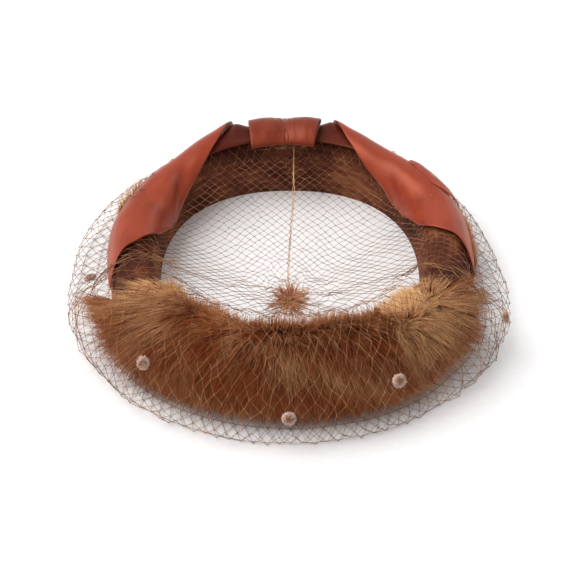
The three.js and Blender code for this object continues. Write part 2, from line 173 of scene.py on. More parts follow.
# where along its length a loose end of thread may bend
LOOSE = (0.25, 0.5, 0.75)


# Measures of the hat

def read(table, at, column=1):
    return np.interp(at, table[:, 0], table[:, column])


def row_at(table, share, column=0):
    """A column of a table whose rows are spread evenly from 0 to 1."""
    return np.interp(share, np.linspace(0, 1, len(table)), table[:, column])


def wrapped(azimuth):
    return (np.asarray(azimuth, float) + 180) % 360 - 180


def smooth(value, low, high):
    share = np.clip((value - low) / (high - low), 0, 1)
    return share * share * (3 - 2 * share)


def hole_radius(azimuth):
    a = np.radians(azimuth)
    depth = np.where(np.sin(a) > 0, DEPTH_BACK, DEPTH_FRONT)
    across = (np.abs(np.cos(a)) / HALF_WIDTH) ** OVAL_SQUARENESS
    along = (np.abs(np.sin(a)) / depth) ** OVAL_SQUARENESS
    return (across + along) ** (-1 / OVAL_SQUARENESS)


def ring_width(azimuth):
    return read(WIDTHS, wrapped(azimuth))


def polar(azimuth, radius, z):
    a = np.radians(azimuth)
    return np.stack(np.broadcast_arrays(radius * np.cos(a), CENTRE_Y + radius * np.sin(a), z), -1)


def along_ring(azimuth):
    a = np.radians(azimuth)
    return np.stack([-np.sin(a), np.cos(a), 0 * a], -1)


def section(turn):
    t = np.radians(turn)
    power = 2 / SECTION_SQUARENESS
    across = -np.sign(np.cos(t)) * np.abs(np.cos(t)) ** power
    up = np.clip(np.sin(t), 0, None) ** power
    grow = SECTION_SQUARENESS - 1
    slope_out = np.sign(across) * np.abs(across) ** grow / (RING_WIDTH / 2)
    slope_up = up ** grow / RING_HEIGHT
    length = np.hypot(slope_out, slope_up)
    return RING_WIDTH / 2 * (1 + across), RING_HEIGHT * up, slope_out / length, slope_up / length


def on_ring(azimuth, turn, lift):
    out, up, normal_out, normal_up = section(turn)
    out = out * ring_width(azimuth) / RING_WIDTH
    return polar(azimuth, hole_radius(azimuth) + out + lift * normal_out, up + lift * normal_up)


def fur_presence(azimuth):
    a = wrapped(azimuth)
    return smooth(a, FUR_FROM - 13, FUR_FROM + 7) * (1 - smooth(a, FUR_TO - 7, FUR_TO + 13))


def net_lift(azimuth, turn):
    return NET_LIFT + fur_presence(azimuth) * (read(FUR_SECTION, turn, 2) + NET_OVER_FUR)


def crown_sag(reach, share):
    """How far the crown hangs at a share of the way out, which is less where it is short."""
    return CROWN_SAG * min(1, reach / 80) * 4 * share * (1 - share)


def on_veil(azimuth, level):
    """Points of the veil along one azimuth: 0 to 1 from the gather to the ring, to 2 over it, to 3 down the
    puffed skirt and to 4 along the hem tucked under it."""
    azimuth = float(azimuth)
    level = np.atleast_1d(level)
    leave = read(LEAVE, wrapped(azimuth))
    shoulder = SHOULDER_VELVET + (SHOULDER_FUR - SHOULDER_VELVET) * fur_presence(azimuth)
    landing = on_ring(azimuth, leave, net_lift(azimuth, leave))
    ahead = landing - GATHER
    aside = GATHER + ahead * (0.64, 0.44, 0.5)
    rim = GATHER + (aside - GATHER) * (1, 1, 0) * GATHER_RIM / np.linalg.norm((aside - GATHER)[:2])
    flat = np.clip(level, 0, 1)[:, None]
    crown = (1 - flat) ** 2 * rim + 2 * flat * (1 - flat) * aside + flat ** 2 * landing
    crown = crown - crown_sag(np.linalg.norm(ahead), flat) * UP
    turn = leave + (shoulder - leave) * np.clip(level - 1, 0, 1)
    over = on_ring(azimuth, turn, net_lift(azimuth, turn))
    top = on_ring(azimuth, shoulder, net_lift(azimuth, shoulder))
    puff = read(PUFF, wrapped(azimuth))
    foot = polar(azimuth, puff - HEM_CURL, HEM_HEIGHT)
    pulls = [top, polar(azimuth, puff - 3, top[2] - 1), polar(azimuth, puff + 5, HEM_HEIGHT + 2), foot]
    s = np.clip(level - 2, 0, 1)[:, None]
    weights = [(1 - s) ** 3, 3 * s * (1 - s) ** 2, 3 * s * s * (1 - s), s ** 3]
    skirt = sum(w * p for w, p in zip(weights, pulls))
    stop = polar(azimuth, hole_radius(azimuth) + RING_WIDTH + HEM_STOP, HEM_HEIGHT)
    hem = foot + (stop - foot) * np.clip(level - 3, 0, 1)[:, None]
    step = level[:, None]
    return np.where(step < 1, crown, np.where(step <= 2, over, np.where(step <= 3, skirt, hem)))


# Finishes

def linear(colour):
    """A hex sRGB colour as linear light, with full alpha."""
    parts = [int(colour[i:i + 2], 16) / 255 for i in (1, 3, 5)]
    return tuple(c / 12.92 if c <= 0.04045 else ((c + 0.055) / 1.055) ** 2.4 for c in parts) + (1,)


def add(tree, kind, inputs=None, **settings):
    """A node with its settings, and values or links on its sockets."""
    node = tree.nodes.new(kind)
    for name, value in settings.items():
        setattr(node, name, value)
    for socket, value in (inputs or {}).items():
        if isinstance(value, bpy.types.NodeSocket):
            tree.links.new(value, node.inputs[socket])
        else:
            node.inputs[socket].default_value = value
    return node


def finish(name, values):
    """A material with one Principled shader: itself, its tree and its shader."""
    material = bpy.data.materials.new(name)
    material.use_nodes = True
    tree = material.node_tree
    tree.nodes.clear()
    shader = add(tree, "ShaderNodeBsdfPrincipled", values)
    add(tree, "ShaderNodeOutputMaterial", {"Surface": shader.outputs[0]})
    return material, tree, shader


def ramp(tree, factor, stops):
    node = add(tree, "ShaderNodeValToRGB", {"Fac": factor})
    elements = node.color_ramp.elements
    while len(elements) < len(stops):
        elements.new(0.5)
    for element, (position, colour) in zip(elements, stops):
        element.position = position
        element.color = linear(colour)
    return node.outputs["Color"]


def coloured(tree, shader, factor, stops):
    tree.links.new(ramp(tree, factor, stops), shader.inputs["Base Color"])


def maths(tree, operation, *values):
    return add(tree, "ShaderNodeMath", dict(enumerate(values)), operation=operation).outputs[0]


def noise(tree, place, scale, detail, roughness=0.5, distortion=0.0):
    return add(tree, "ShaderNodeTexNoise", {"Vector": place, "Scale": scale, "Detail": detail,
                                            "Roughness": roughness, "Distortion": distortion}).outputs["Fac"]


def bumped(tree, shader, height, strength, distance):
    bump = add(tree, "ShaderNodeBump", {"Height": height, "Strength": strength, "Distance": distance})
    tree.links.new(bump.outputs[0], shader.inputs["Normal"])


def velvet():
    """Cotton velvet: a cut pile that is near black looked into, and catches light where it lies over. It was
    brushed along the ring, and the long paler streaks where the pile lies over are painted sheen in its
    colour."""
    material, tree, shader = finish("cotton_velvet", {
        "Roughness": 0.85, "IOR": 1.47, "Specular IOR Level": 0.2, "Sheen Weight": 0.25,
        "Sheen Roughness": 0.35, "Sheen Tint": linear("#b06038")})
    place = add(tree, "ShaderNodeTexCoord").outputs["Object"]
    x, y, z = add(tree, "ShaderNodeSeparateXYZ", {"Vector": place}).outputs
    y = maths(tree, "SUBTRACT", y, CENTRE_Y * MM)
    angle = maths(tree, "ARCTAN2", x, y)
    radius = maths(tree, "SQRT", maths(tree, "MULTIPLY_ADD", x, x, maths(tree, "MULTIPLY", y, y)))
    around = add(tree, "ShaderNodeCombineXYZ", {"X": angle, "Y": radius, "Z": z})
    # 0.09 m is the ring's own radius, so the painted sheen streaks are 20 mm long and 2 mm apart
    stretched = add(tree, "ShaderNodeMapping", {"Vector": around.outputs[0], "Scale": (0.09 * 50, 480, 480)})
    painted_sheen_streaks = noise(tree, stretched.outputs[0], 1, 4, 0.6, 0.3)
    both = maths(tree, "MULTIPLY_ADD", painted_sheen_streaks, 0.6, noise(tree, place, 40, 3))
    # the paler stops are painted sheen of the brushed pile, not a dye
    coloured(tree, shader, both, [(0.55, "#260e08"), (0.75, "#4c2216"), (0.88, "#6a3824"), (1.0, "#8a5434")])
    bumped(tree, shader, noise(tree, place, 900, 3), 0.6, 0.0006)
    return material


def satin_finish(name, gloss, deep, middle, pale):
    """Polyester satin: long warp floats give a soft directional gloss, with faint rubbed lights. A darker,
    less glossy copy of it is painted shade, for the band that lies deep in the fold beside the bow."""
    material, tree, shader = finish(name, {
        "IOR": 1.5, "Specular IOR Level": gloss, "Specular Tint": linear("#ffa88c"), "Sheen Weight": 0.17,
        "Sheen Roughness": 0.3, "Sheen Tint": linear("#ffbca0"), "Anisotropic": 0.5})
    place = add(tree, "ShaderNodeTexCoord").outputs["UV"]
    lie = noise(tree, place, 4, 3)
    coloured(tree, shader, lie, [(0.3, deep), (0.5, middle), (0.72, pale)])
    rough = add(tree, "ShaderNodeMapRange", {"Value": lie, "To Min": 0.33, "To Max": 0.45})
    tree.links.new(rough.outputs[0], shader.inputs["Roughness"])
    # the real floats are 0.1 mm apart, drawn at 0.4 mm so that they show
    across = add(tree, "ShaderNodeMapping", {"Vector": place, "Scale": (1, 60, 1)})
    bumped(tree, shader, noise(tree, across.outputs[0], 8, 4), 0.12, 0.0003)
    return material


def hair(name, dark, body, tip, light):
    """Fur: each hair is dark at the root and gold at the tip, and whole locks are lighter than others.
    UV u is how light the hair is and v runs along it."""
    material, tree, shader = finish(name, {
        "Roughness": 0.5, "IOR": 1.55, "Specular IOR Level": 0.2, "Specular Tint": linear("#f0c090")})
    uv = add(tree, "ShaderNodeSeparateXYZ", {"Vector": add(tree, "ShaderNodeTexCoord").outputs["UV"]})
    deep = ramp(tree, uv.outputs["Y"], [(0.0, dark), (0.45, body), (1.0, tip)])
    pale = ramp(tree, uv.outputs["Y"], [(0.0, body), (0.4, tip), (0.85, light)])
    mixed = add(tree, "ShaderNodeMix", {"Factor": uv.outputs["X"]}, data_type="RGBA")
    tree.links.new(deep, mixed.inputs["A"])
    tree.links.new(pale, mixed.inputs["B"])
    tree.links.new(mixed.outputs["Result"], shader.inputs["Base Color"])
    return material


def underfur():
    """The dense short coat under the guard hairs, seen only as warm depth between them."""
    material, tree, shader = finish("underfur", {"Roughness": 0.95, "Specular IOR Level": 0.1})
    place = add(tree, "ShaderNodeTexCoord").outputs["Object"]
    tufts = noise(tree, place, 160, 5, 0.7)
    coloured(tree, shader, tufts, [(0.3, "#341408"), (0.6, "#5a2812"), (0.8, "#7a3e20")])
    bumped(tree, shader, tufts, 1, 0.003)
    return material


def thread(name, low, high, roughness):
    """Twisted thread or net: a matt fibre whose colour wanders a little along its length."""
    material, tree, shader = finish(name, {"Roughness": roughness, "IOR": 1.53, "Specular IOR Level": 0.3})
    place = add(tree, "ShaderNodeTexCoord").outputs["Object"]
    coloured(tree, shader, noise(tree, place, 70, 3), [(0.35, low), (0.65, high)])
    return material


def table_top():
    """The sweep of matt white paper that the hat lies on."""
    material, tree, shader = finish("white_paper", {"Roughness": 0.9, "Specular IOR Level": 0.1})
    place = add(tree, "ShaderNodeTexCoord").outputs["Object"]
    coloured(tree, shader, noise(tree, place, 300, 2), [(0.3, "#f3f2f2"), (0.7, "#f7f6f6")])
    return material


VELVET = velvet()
SATIN = satin_finish("polyester_satin", 0.85, "#802c18", "#8f3620", "#9e432b")
SATIN_LOOP = satin_finish("polyester_satin_loop", 0.65, "#682413", "#752b19", "#823420")
# the same satin darkened and dulled: painted shade for the band, deep in the fold between the left wrap and
# the bow
SATIN_PAINTED_SHADE = satin_finish("polyester_satin_painted_shade", 0.4, "#3c1008", "#4c160b", "#5c1e11")
UNDERFUR = underfur()
FUR = hair("brown_fur", "#40160c", "#7a3316", "#a2552b", "#f8c893")
NET = thread("veiling_net", "#6e4328", "#ae7c54", 0.55)
GATHERED = thread("gathered_net", "#a8643c", "#e8b284", 0.5)
SEWING = thread("sewing_thread", "#a87648", "#d6a878", 0.5)
CHENILLE = hair("chenille_pile", "#54301f", "#94664e", "#c8a08a", "#f0d8ca")
PAPER = table_top()


# Ways of making

def settle(bm, name, material, slot, *nodes):
    """The finished mesh as an object that rides on the hat and stands for its solids."""
    mesh = bpy.data.meshes.new(name)
    bm.to_mesh(mesh)
    bm.free()
    return dress(mesh, name, material, slot, *nodes)


def dress(mesh, name, material, slot, *nodes):
    piece = bpy.data.objects.new(name, mesh)
    bpy.context.collection.objects.link(piece)
    mesh.materials.append(material)
    for polygon in mesh.polygons:
        polygon.use_smooth = True
    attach(piece, "root")
    if nodes:
        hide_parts(*nodes)
    return piece


def cloth(columns, rows, place):
    """A grid of cloth whose corner-to-corner shares (u, v) are put where place says, with a UV map."""
    bm = bmesh.new()
    bmesh.ops.create_grid(bm, x_segments=columns, y_segments=rows, size=0.5)
    uv = bm.loops.layers.uv.new("UVMap")
    for face in bm.faces:
        for loop in face.loops:
            loop[uv].uv = (loop.vert.co.x + 0.5, loop.vert.co.y + 0.5)
    shares = np.array([(v.co.x + 0.5, v.co.y + 0.5) for v in bm.verts])
    for vert, point in zip(bm.verts, place(shares[:, 0], shares[:, 1])):
        vert.co = Vector(point) * MM
    return bm


def outward(bm, radius, height, back=0):
    """Turns an open sheet's faces away from a circle inside the ring."""
    def facing(face):
        middle = face.calc_center_median()
        core = Vector((middle.x, middle.y, 0)).normalized() * radius + Vector((0, back, height))
        return (middle - core * MM).dot(face.normal)

    if sum(1 if facing(face) < 0 else -1 for face in bm.faces) > 0:
        bmesh.ops.reverse_faces(bm, faces=bm.faces)


def walled(piece, thickness, levels=0):
    """A thickness in from the piece's face, and a smoother surface."""
    wall = piece.modifiers.new("thickness", "SOLIDIFY")
    wall.thickness = thickness * MM
    wall.offset = -1
    if levels:
        soft = piece.modifiers.new("smooth", "SUBSURF")
        soft.levels = soft.render_levels = levels


def copies(name, template, places, tints, material, slot, *nodes):
    """One mesh joined from a copy of the template for each place. places gives every template point of every
    copy, and the copy's UV map holds its tint and how far along it each point is."""
    bmesh.ops.triangulate(template, faces=template.faces)
    template.verts.ensure_lookup_table()
    corners = np.array([[v.index for v in f.verts] for f in template.faces])
    along = np.array([v.co.z for v in template.verts])
    template.free()
    count, points, _ = places.shape
    faces = (corners[None] + (np.arange(count) * points)[:, None, None]).reshape(-1, 3)
    mesh = bpy.data.meshes.new(name)
    mesh.vertices.add(count * points)
    mesh.vertices.foreach_set("co", (places * MM).astype(np.float32).ravel())
    mesh.loops.add(faces.size)
    mesh.loops.foreach_set("vertex_index", faces.astype(np.int32).ravel())
    mesh.polygons.add(len(faces))
    mesh.polygons.foreach_set("loop_start", np.arange(0, faces.size, 3, dtype=np.int32))
    uv = mesh.uv_layers.new(name="UVMap")
    flat = np.stack([np.repeat(tints, points), np.tile(along, count)], -1)[faces.ravel()]
    uv.data.foreach_set("uv", flat.astype(np.float32).ravel())
    mesh.update(calc_edges=True)
    mesh.validate()
    return dress(mesh, name, material, slot, *nodes)


def bristle(cuts):
    """One hair, a unit long and a unit thick at the root, tapering to its tip."""
    bm = bmesh.new()
    bmesh.ops.create_cone(bm, cap_ends=True, segments=3, radius1=1, radius2=0.02, depth=1)
    bmesh.ops.translate(bm, verts=bm.verts, vec=(0, 0, 0.5))
    for cut in cuts:
        bmesh.ops.bisect_plane(bm, geom=bm.verts[:] + bm.edges[:] + bm.faces[:], plane_co=(0, 0, cut),
                               plane_no=(0, 0, 1))
    for vert in bm.verts:
        fullness = (1 - vert.co.z ** 2) / max(1 - vert.co.z, 1e-6) if 0.01 < vert.co.z < 0.99 else 1
        vert.co.x *= fullness
        vert.co.y *= fullness
    bmesh.ops.remove_doubles(bm, verts=bm.verts, dist=0.05)
    bm.verts.index_update()
    return bm


def bristles(name, roots, bends, tips, radius, tints, material, slot, *nodes, cuts=(0.5,)):
    """Hairs that run from their roots past their bends to their tips."""
    template = bristle(cuts)
    shape = np.array([v.co[:] for v in template.verts])
    reach = tips - roots
    side = np.cross(reach, rng.normal(size=reach.shape))
    side /= np.linalg.norm(side, axis=1, keepdims=True)
    other = np.cross(reach, side)
    other /= np.linalg.norm(other, axis=1, keepdims=True)
    s = shape[None, :, 2:3]
    spine = (1 - s) ** 2 * roots[:, None] + 2 * s * (1 - s) * bends[:, None] + s * s * tips[:, None]
    thick = np.broadcast_to(radius, len(roots))[:, None, None]
    places = spine + thick * (shape[None, :, 0:1] * side[:, None] + shape[None, :, 1:2] * other[:, None])
    return copies(name, template, places, tints, material, slot, *nodes)


def waves(seed, count, lowest, highest):
    """A smooth uneven field of two measures, about -1 to 1."""
    source = np.random.default_rng(seed)
    pull = source.uniform(lowest, highest, (count, 2)) * source.choice([-1, 1], (count, 2))
    phase = source.uniform(0, 2 * np.pi, count)

    def field(a, b):
        total = sum(np.sin(p[0] * np.asarray(a) + p[1] * np.asarray(b) + f) for p, f in zip(pull, phase))
        return total / math.sqrt(count)

    return field


# Ring
def padded_ring():
    """A bias-cut velvet tube, stuffed and drawn round to the hole's oval."""
    bm = bmesh.new()
    spun = 100
    out, up, _, _ = section(np.linspace(0, 180, 23))
    verts = [bm.verts.new((spun + o, 0, u)) for o, u in zip(out, up)]
    edges = [bm.edges.new(pair) for pair in zip(verts, verts[1:] + verts[:1])]
    bmesh.ops.spin(bm, geom=verts + edges, cent=(0, 0, 0), axis=(0, 0, 1), angle=2 * math.pi, steps=120,
                   use_merge=True)
    bmesh.ops.remove_doubles(bm, verts=bm.verts, dist=0.01)
    pucker = waves(3, 10, 0.05, 0.5)
    for vert in bm.verts:
        azimuth = math.degrees(math.atan2(vert.co.y, vert.co.x))
        out = (math.hypot(vert.co.x, vert.co.y) - spun) * float(ring_width(azimuth)) / RING_WIDTH
        lump = 0.5 * float(pucker(azimuth * 0.4, vert.co.z * 0.3)) * float(smooth(vert.co.z, 1, 8))
        side = 1 if out > RING_WIDTH / 2 else -1
        vert.co = Vector(polar(azimuth, float(hole_radius(azimuth)) + out + side * lump, vert.co.z)) * MM
    bmesh.ops.recalc_face_normals(bm, faces=bm.faces)
    piece = settle(bm, "padded_velvet_ring", VELVET, "velvet", "velvet_ring")


# Satin
def dent(u, v, at, spread, depth):
    """A soft hollow or swelling of cloth about one place."""
    return depth * np.exp(-((u - at[0]) / spread[0]) ** 2 - ((v - at[1]) / spread[1]) ** 2)


def fold_of_ribbon(name, table, columns, rows, lie, node, material=SATIN):
    """Ribbon that spans from one azimuth to another at each turn of the section. lie gives how far the cloth
    stands in or out at a share along and across it."""
    def place(u, v):
        turn = row_at(table, v)
        start, end, high, low = (read(table, turn, i) for i in (1, 2, 3, 4))
        lift = high + (low - high) * smooth(u, *FOLD_SETTLES)
        return on_ring(start + (end - start) * u, turn, lift + RIBBON_THICKNESS / 2 + lie(u, v))

    bm = cloth(columns, rows, place)
    outward(bm, 85, 12)
    piece = settle(bm, name, material, "satin", node)
    walled(piece, RIBBON_THICKNESS, 1)


def satin():
    """One ribbon: a band under the bow, a wrap folded down over each side, and its tail on the right one."""
    ripple = waves(11, 5, 2, 6)

    def band_lie(u, v):
        rolled = 1.1 * np.exp(-(v / 0.14) ** 2)
        azimuth = row_at(BAND, v, 1) * (1 - u) + row_at(BAND, v, 2) * u
        risen = np.exp(-((azimuth - 109) / 3.3) ** 2) + np.exp(-((azimuth - 75.4) / 3.1) ** 2)
        return rolled + 3.7 * risen * smooth(v, 0.3, 0.7) + 0.12 * ripple(u * 2, v)

    def wrap_edges(u, v, tension):
        """The fold beside the bow, the cloth drawn taut from it, and the hem."""
        fold = 3.3 * np.exp(-(u / 0.05) ** 2) * smooth(v, 0.5, 0.76)
        taut = tension * np.sin(np.pi * np.clip(u * 1.4, 0, 1)) * smooth(v, 0.5, 0.7)
        return fold - taut + 0.5 * np.exp(-((1 - u) / 0.06) ** 2)

    def left_lie(u, v):
        hollows = dent(u, v, (0.23, 0.45), (0.12, 0.24), -1.2) + dent(u, v, (0.6, 0.5), (0.14, 0.2), -1.3)
        ridges = dent(u, v, (0.4, 0.3), (0.12, 0.26), 1.1)
        hollows *= smooth(v, 0.95, 0.7)
        return wrap_edges(u, v, 1.1) + hollows + ridges + 0.1 * ripple(u * 2, v * 2)

    def right_lie(u, v):
        hollows = dent(u, v, (0.7, 0.34), (0.18, 0.16), -1.2) + dent(u, v, (0.2, 0.6), (0.12, 0.2), -0.6)
        ridges = dent(u, v, (0.42, 0.42), (0.18, 0.28), 0.7) + dent(u, v, (0.88, 0.55), (0.1, 0.3), 0.6)
        return wrap_edges(u, v, 0.9) + hollows + ridges + 0.1 * ripple(u * 2 + 3, v * 2)

    def tail_lie(u, v):
        return 0.9 * np.sin(np.pi * u) * v - 1.3 * np.exp(-(u / 0.15) ** 2) + 0.12 * ripple(u * 3, v)

    # the band takes the darkened satin, painted shade for the deep fold it lies in
    fold_of_ribbon("satin_band_under_bow", BAND, 44, 12, band_lie, "satin_band",
                   SATIN_PAINTED_SHADE)
    fold_of_ribbon("satin_wrap_left_fold", WRAP_LEFT, 32, 30, left_lie, "satin_wrap_left")
    fold_of_ribbon("satin_wrap_right_fold", WRAP_RIGHT, 32, 30, right_lie, "satin_wrap_right")
    fold_of_ribbon("satin_tail_fold", TAIL_RIGHT, 24, 8, tail_lie, "satin_tail_right")


def bow():
    """A loop of ribbon laid flat along the ring, drawn in where it is tacked down."""
    rising = BOW[::-1]
    drawn = waves(21, 6, 4, 16)

    def place(u, v):
        azimuth = row_at(BOW, v)
        half, height = read(rising, azimuth, 1), read(rising, azimuth, 2)
        middle = on_ring(azimuth, np.full_like(azimuth, BOW_TURN), BOW_LIFT + height / 2)
        out = polar(azimuth, 1, 0) - polar(azimuth, 0, 0)
        a = 2 * np.pi * u
        across = (half - RIBBON_THICKNESS / 2) * np.sign(np.cos(a)) * np.abs(np.cos(a)) ** 0.8
        tack = np.exp(-((azimuth - BOW_TACK) / 2.4) ** 2)
        crease = 0.3 * drawn(azimuth * 0.35, u * 2) * (0.3 + tack)
        up = (height - RIBBON_THICKNESS) / 2 * np.sign(np.sin(a)) * np.abs(np.sin(a)) ** 0.7
        up += crease - 0.022 * across ** 2
        skewed = (1.5 - 2.2 * across / half) * smooth(azimuth, 96, 105)
        return middle + out * across[:, None] + along_ring(azimuth) * skewed[:, None] + UP * up[:, None]

    bm = cloth(40, 32, place)
    bmesh.ops.remove_doubles(bm, verts=bm.verts, dist=1e-6)
    bmesh.ops.recalc_face_normals(bm, faces=bm.faces)
    outward(bm, 94, 40.5, 3)
    piece = settle(bm, "satin_bow_loop", SATIN_LOOP, "satin", "satin_bow")
    walled(piece, RIBBON_THICKNESS, 1)


# Fur
def swelling(share, middle):
    """How deep the coat is from -1 to 1 along its strip, with rounded ends."""
    round_end = 0.06 + 0.94 * np.sqrt(np.clip(1 - np.abs(share) ** 4, 0, 1))
    return round_end * (middle + (1 - middle) * smooth(np.abs(share), 0.2, 0.75))


def grown(azimuth, turn, length, lift, lie):
    """Roots, bends and tips of hairs that rise from the skin and then follow the ring's curve down."""
    lean, heading = lie(azimuth, turn)

    def way(turn, lean):
        base = on_ring(azimuth, turn, 0)
        out = on_ring(azimuth, turn, 10) - base
        out /= np.linalg.norm(out, axis=1, keepdims=True)
        along = along_ring(azimuth)
        flow = np.cross(along, out) * np.cos(heading)[:, None] + along * np.sin(heading)[:, None]
        return out * np.cos(lean)[:, None] + flow * np.sin(lean)[:, None]

    size = length[:, None]
    root = on_ring(azimuth, turn, lift)
    bend = root + way(turn, lean) * 0.48 * size
    onward = np.clip(turn + 26 * np.cos(heading), 20, 170)
    tip = bend + way(onward, lean * 1.05) * 0.55 * size - UP * 0.05 * size
    return root, bend, tip


def gathered(hairs, places, guides, guide_places, pull):
    """Hairs whose bends and tips are drawn towards those of the nearest guide."""
    root, bend, tip = hairs
    # a batch at a time, so that the distances fit in memory
    nearest = np.concatenate([
        np.argmin(((part[:, None] - guide_places[None]) ** 2).sum(-1), axis=1)
        for part in np.array_split(places, max(1, len(places) // 1500))])
    guide_root, guide_bend, guide_tip = (g[nearest] for g in guides)
    pull = np.broadcast_to(pull, len(root))[:, None]
    reach = np.linalg.norm(tip - root, axis=1) / np.linalg.norm(guide_tip - guide_root, axis=1)
    aim = guide_root + (guide_tip - guide_root) * reach[:, None]
    aim_bend = guide_root + (guide_bend - guide_root) * reach[:, None]
    return (root, bend + (aim_bend - bend) * pull * 0.45, tip + (aim - tip) * pull), nearest


def from_whorl(azimuth, turn, whorl):
    return (azimuth - whorl[0]) * PER_AZIMUTH, (turn - whorl[1]) * PER_TURN


def coat(counts, span, turns, hold, tufts, ends, root_lift, length_at, lie, tint_at):
    """Guard hairs in wisps, and wisps in locks, over part of the ring. hold is how closely each keeps to its
    own wisp or lock, and ends moves the coat's ends in or out at each turn."""
    count, wisp_count, lock_count = counts

    def scatter(number):
        """Places that are denser towards the first turn, with a few more round each tuft."""
        azimuth = rng.uniform(*span, number)
        turn = turns[0] + (turns[1] - turns[0]) * rng.uniform(size=number) ** 1.18
        for place in tufts:
            close = rng.uniform(size=number) < 0.03
            azimuth = np.where(close, place[0] + rng.normal(scale=4, size=number), azimuth)
            turn = np.where(close, place[1] + rng.normal(scale=13, size=number), turn)
        azimuth = ends(azimuth, turn)
        return azimuth, turn, np.stack([azimuth * PER_AZIMUTH, turn * PER_TURN], -1)

    levels = []
    for number, uneven in ((lock_count, 0.16), (wisp_count, 0.12), (count, 0.14)):
        azimuth, turn, places = scatter(number)
        length = length_at(azimuth, turn) * (1 + uneven * rng.normal(size=number))
        hairs = grown(azimuth, turn, np.clip(length, 2.5, 27), root_lift(azimuth, turn), lie)
        shade = 0.12 * rng.normal(size=number)
        if levels:
            guides, guide_places, guide_shade = levels[-1]
            pull = np.clip(rng.normal(hold, 0.18, number), 0, 0.95)
            hairs, nearest = gathered(hairs, places, guides, guide_places, pull)
            shade = shade + guide_shade[nearest] * 0.9
        levels.append((hairs, places, shade))
    root, bend, tip = hairs
    # single hairs stray, and a few are longer than the rest
    size = np.linalg.norm(tip - root, axis=1)[:, None]
    tip = tip + rng.normal(scale=0.07, size=tip.shape) * size
    bend = bend + rng.normal(scale=0.035, size=tip.shape) * size
    short = np.where(rng.uniform(size=count) < 0.08, 1.22, rng.uniform(0.66, 1.04, count))[:, None]
    tip = root + (tip - root) * short
    bend = root + (bend - root) * short
    # the table stops them, and the veil presses them down
    tip[:, 2] = np.maximum(tip[:, 2], 1 + rng.uniform(0, 1.5, count))
    tip[:, 2] -= 0.55 * np.maximum(tip[:, 2] - FUR_PRESSED, 0)
    bend[:, 2] = np.maximum(bend[:, 2], 1.5)
    return azimuth, root, bend, tip, np.clip(tint_at(azimuth, turn) + shade, 0, 1)


def underfur_body(name, span, table, middle, share_of_depth, node):
    """The skin that the hair grows from, padded to a share of the coat's depth."""
    lumps = waves(41, 12, 0.2, 0.9)

    def place(u, v):
        azimuth = span[0] + (span[1] - span[0]) * u
        turn = table[0, 0] + (table[-1, 0] - table[0, 0]) * v
        swell = swelling(2 * u - 1, middle)
        depth = read(table, turn, 1) * swell * share_of_depth + 1.6
        return on_ring(azimuth, turn, depth + 0.4 * lumps(azimuth, turn * 0.5) * swell)

    bm = cloth(90, 36, place)
    outward(bm, 90, 12)
    walled(settle(bm, name, UNDERFUR, "fur", node), 1.1)


